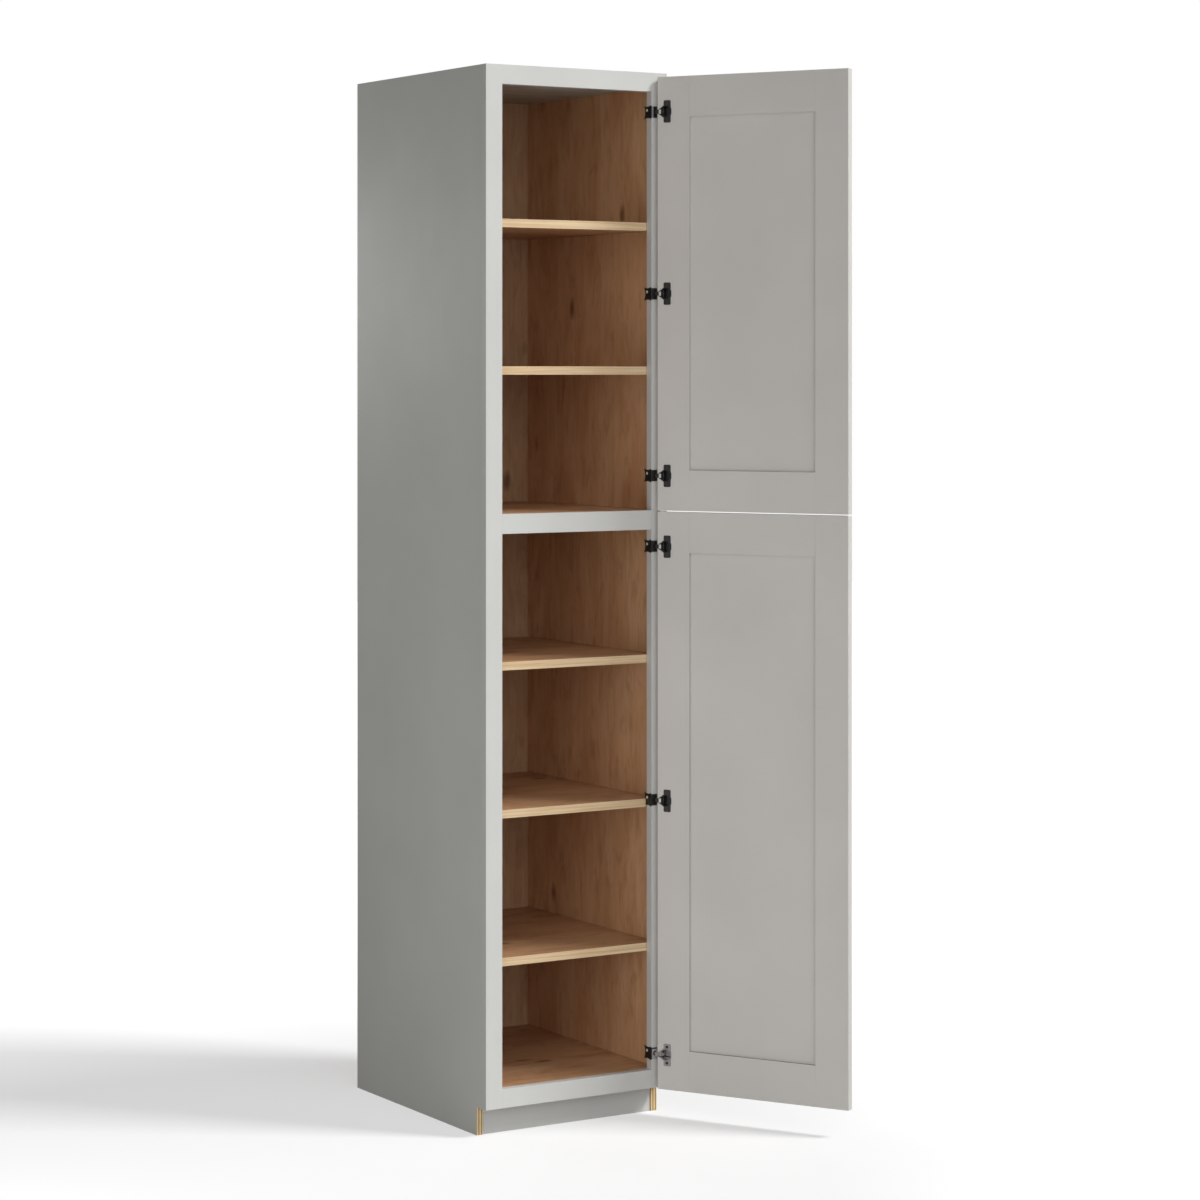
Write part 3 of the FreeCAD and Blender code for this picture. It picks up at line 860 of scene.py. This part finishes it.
@dataclass(frozen=True)
class Easing:
    """How a node's edges are rounded over."""

    width: float
    segments: int = 2
    merge: float = 0.002 * MM
    flat: float = math.radians(0.6)
    curved: float = math.radians(1.0)
    sharp: float = math.radians(30.0)
    crease: float = math.radians(35.0)

    def shape(self, node: str) -> bmesh.types.BMesh:
        """Copy a node's shape and round its sharp edges.

        Args:
            node: the node's name.

        Returns:
            The new shape, in place, with its curved faces smooth.
        """
        mesh = bmesh.new()
        mesh.from_mesh(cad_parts[node].data)
        for face in mesh.faces:
            face.smooth = False
        bmesh.ops.remove_doubles(mesh, verts=mesh.verts, dist=self.merge)
        bmesh.ops.dissolve_limit(mesh, angle_limit=self.flat, verts=mesh.verts, edges=mesh.edges)
        sharp = []
        for edge in mesh.edges:
            turn = edge.calc_face_angle(0.0)
            if turn > self.sharp:
                sharp.append(edge)
            elif turn > self.curved:
                for face in edge.link_faces:
                    face.smooth = True
        bmesh.ops.bevel(mesh, geom=sharp, offset=self.width, offset_type="OFFSET",
                        segments=self.segments, profile=0.5, affect="EDGES",
                        clamp_overlap=True, material=-1)
        for face in mesh.faces:
            if face.calc_area() < self.width * face.calc_perimeter():
                face.smooth = True
        return mesh


def dress(node: str, body: str, material: bpy.types.Material, easing: Easing) -> None:
    """Put an eased and finished piece in a node's place, riding on a body.

    Args:
        node: the node that the piece stands for.
        body: the body that it moves with.
        material: its finish.
        easing: how its edges are rounded.
    """
    name = node + "_eased"
    mesh = easing.shape(node)
    smooth = [face.smooth for face in mesh.faces]
    data = bpy.data.meshes.new(name)
    mesh.to_mesh(data)
    mesh.free()
    stored = data.attributes.get("custom_normal")
    if stored:
        data.attributes.remove(stored)
    data.materials.append(material)
    data.set_sharp_from_angle(angle=easing.crease)
    data.polygons.foreach_set("use_smooth", smooth)
    piece = bpy.data.objects.new(name, data)
    bpy.context.scene.collection.objects.link(piece)
    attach(piece, body)
    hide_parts(node)
    log.info("%s: %d faces on %s", name, len(data.polygons), body)


@dataclass
class SmallParts:
    """Dowels, pins and screws, which keep their solids' own shape."""

    finishes: Finishes

    def dress(self) -> None:
        """Finish every solid, also those that an eased piece stands for."""
        looks = {"face_frame_dowels": self.finishes.board}
        for door in DOORS:
            looks[door + "_cup_screws"] = looks[door + "_cup_pins"] = self.finishes.black
        for name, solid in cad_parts.items():
            solid.data.materials.clear()
            solid.data.materials.append(looks.get(name, self.finishes.zinc))


@dataclass
class Case:
    """The box: sides, back, floor, deck, top, shelves and toe kick."""

    finishes: Finishes
    easing: Easing = Easing(0.5 * MM)
    boards: tuple[str, ...] = ("bottom_panel", "middle_deck", "top_panel", "lower_shelf_low",
                               "lower_shelf_middle", "lower_shelf_high", "upper_shelf_low",
                               "upper_shelf_high")

    def dress(self) -> None:
        """Round the boards' edges and finish them."""
        looks = {"left_side_panel": self.finishes.left_side,
                 "right_side_panel": self.finishes.right_side,
                 "back_panel": self.finishes.back,
                 "toe_kick_board": self.finishes.paint}
        looks.update({name: self.finishes.board for name in self.boards})
        looks["top_panel"] = self.finishes.top
        for name, material in looks.items():
            dress(name, "carcass", material, self.easing)


@dataclass
class FaceFrame:
    """Two stiles and three rails in front of the case."""

    finishes: Finishes
    easing: Easing = Easing(0.4 * MM)
    members: tuple[str, ...] = ("left_stile", "right_stile", "frame_top_rail",
                                "frame_middle_rail", "frame_bottom_rail")

    def dress(self) -> None:
        """Round the edges and paint them."""
        for name in self.members:
            paint = self.finishes.stiles.get(name, self.finishes.paint)
            dress(name, "carcass", paint, self.easing)


@dataclass
class Door:
    """A framed door with a flat floating panel."""

    finishes: Finishes
    body: str
    easing: Easing = Easing(0.4 * MM)
    members: tuple[str, ...] = ("hinge_stile", "free_stile", "bottom_rail", "top_rail", "panel")

    def dress(self) -> None:
        """Round the edges and paint them."""
        for member in self.members:
            paint = self.finishes.door_members.get(member, self.finishes.door_paint)
            dress("%s_%s" % (self.body, member), self.body, paint, self.easing)


@dataclass
class Hinge:
    """One concealed hinge: bracket, link and cup."""

    finishes: Finishes
    number: int
    easing: Easing = Easing(0.25 * MM)
    lower_hinges: int = 3

    @property
    def side(self) -> str:
        """Which of the two doors this hinge carries."""
        return "lower" if self.number <= self.lower_hinges else "upper"

    def dress(self) -> None:
        """Round the stamped edges and give them the black painted dark reflection or the nickel.
        """
        # The lowest cup shows the nickel lit; the others take the black painted dark reflection.
        cup = self.finishes.nickel if self.number == HINGES[0] else self.finishes.black
        bracket = self.finishes.brackets.get(self.number, self.finishes.black)
        pieces = (("hinge_bracket_%d", "carcass", bracket),
                  ("hinge_link_%d", self.side + "_links", self.finishes.links[self.number]),
                  ("hinge_cup_%d", self.side + "_door", cup))
        for pattern, body, material in pieces:
            dress(pattern % self.number, body, material, self.easing)


@dataclass(frozen=True)
class Lamp:
    """A square soft light, placed by the direction that it comes from.

    Azimuth runs from the front to the right. The level is that of a white card at
    the target, and the softness is the angle that the lamp fills from there.
    """

    name: str
    azimuth: float
    elevation: float
    level: float
    softness: float
    reach: float = 20.0
    target: Triple = (0.0, -0.4, 1.1)

    def hang(self) -> None:
        """Put the light in the scene."""
        turn, lift = math.radians(self.azimuth), math.radians(self.elevation)
        way = Vector((math.sin(turn) * math.cos(lift), -math.cos(turn) * math.cos(lift),
                      math.sin(lift)))
        data = bpy.data.lights.new(self.name, "AREA")
        data.shape = "SQUARE"
        data.size = 2 * self.reach * math.tan(math.radians(self.softness / 2))
        data.energy = self.level * math.pi ** 2 * self.reach ** 2
        lamp = bpy.data.objects.new(self.name, data)
        lamp.location = Vector(self.target) + way * self.reach
        lamp.rotation_euler = (-way).to_track_quat("-Z", "Y").to_euler()
        bpy.context.scene.collection.objects.link(lamp)


@dataclass
class Studio:
    """Floor, light and camera."""

    floor_reach: float = 14.0
    floor_tones: Pair = (0.52, 0.54)
    floor_clouds: Pattern = Pattern(same(0.8), 0.3, 0.7)
    floor_roughness: float = 0.9
    floor_glow: float = 0.46
    floor_middle: Triple = (-0.7, -0.7, 0.0)
    floor_fade: Pair = (1.05, 3.0)
    floor_bounce: float = 0.42
    floor_lift: float = 0.06
    camera_place: Triple = (-3.68277, -6.63049, 1.63195)
    camera_turn: float = -0.5537
    camera_sight: float = 500.0
    sensor: float = 36.0
    lens: float = 98.293
    shift: float = -0.19069
    world_light: float = 0.03
    lamps: tuple[Lamp, ...] = (
        Lamp("front", -20.0, 23.0, 0.51, 60.0),
        Lamp("key", 45.0, 45.0, 0.79, 13.0),
        Lamp("fill", -55.0, 2.0, 0.1, 24.0, 3.0, (0.0, -0.4, 0.3)),
        Lamp("side", -75.0, 0.0, 0.13, 30.0, 1.5, (-0.2, -0.45, 0.5)),
        Lamp("rim", -155.0, 12.0, 0.27, 24.0, 1.2, (-0.23, 0.12, 1.6)),
    )

    def floor(self) -> None:
        """Lay a plain floor under the cabinet."""
        mesh = bmesh.new()
        bmesh.ops.create_grid(mesh, x_segments=1, y_segments=1, size=self.floor_reach)
        data = bpy.data.meshes.new("floor")
        mesh.to_mesh(data)
        mesh.free()
        data.materials.append(self.floor_finish())
        piece = bpy.data.objects.new("floor", data)
        bpy.context.scene.collection.objects.link(piece)

    def floor_finish(self) -> bpy.types.Material:
        """Make a pale finish that keeps the shadow and fades to white around it.

        Returns:
            The material, whose light on the cabinet stays gentle.
        """
        surface = Surface("pale_floor")
        camera = surface.node("ShaderNodeLightPath", output="Is Camera Ray")
        pale, paler = self.floor_tones
        seen = surface.mix(self.floor_clouds.mask(surface), same(pale), same(paler))
        away = surface.node("ShaderNodeVectorMath", {"operation": "DISTANCE"},
                            {0: surface.place, 1: self.floor_middle}, output="Value")
        lit = surface.mix(surface.spread(away, *self.floor_fade), same(self.floor_glow),
                          same(1.0))
        return surface.finish(Base_Color=surface.mix(camera, same(self.floor_bounce), seen),
                              Roughness=self.floor_roughness,
                              Emission_Color=surface.mix(camera, same(self.floor_lift), lit),
                              Emission_Strength=1.0)

    def world(self) -> None:
        """Make the world white to the camera and in reflections, gentler as a light."""
        world = bpy.data.worlds.new("studio")
        world.use_nodes = True
        graph = Graph(world.node_tree)
        seen = graph.node("ShaderNodeLightPath", output="Is Camera Ray")
        for ray in ("Is Glossy Ray", "Is Transmission Ray"):
            seen = seen.most(graph.node("ShaderNodeLightPath", output=ray))
        strength = graph.spread(seen, 0.0, 1.0, self.world_light, 1.0)
        background = graph.node("ShaderNodeBackground", None,
                                {"Color": (1.0, 1.0, 1.0, 1.0), "Strength": strength})
        output = graph.tree.nodes.new("ShaderNodeOutputWorld")
        graph.feed(output.inputs[0], background)
        bpy.context.scene.world = world

    def camera(self) -> None:
        """Set up the camera at the photograph's place, level and shifted."""
        data = bpy.data.cameras.new("camera")
        data.sensor_width = self.sensor
        data.lens = self.lens
        data.shift_y = self.shift
        data.clip_end = self.camera_sight
        camera = bpy.data.objects.new("camera", data)
        camera.location = self.camera_place
        camera.rotation_euler = (math.pi / 2, 0.0, self.camera_turn)
        bpy.context.scene.collection.objects.link(camera)
        bpy.context.scene.camera = camera

    def build(self) -> None:
        """Set the whole stage."""
        self.floor()
        self.world()
        for lamp in self.lamps:
            lamp.hang()
        self.camera()
        bpy.context.scene.view_settings.view_transform = "Standard"


def main() -> None:
    """Dress every sub-assembly, then set the stage."""
    logging.basicConfig(level=logging.INFO, format="%(name)s %(message)s")
    finishes = Finishes()
    SmallParts(finishes).dress()
    Case(finishes).dress()
    FaceFrame(finishes).dress()
    for door in DOORS:
        Door(finishes, door).dress()
    for number in HINGES:
        Hinge(finishes, number).dress()
    Studio().build()


if __name__ == "__main__":
    main()
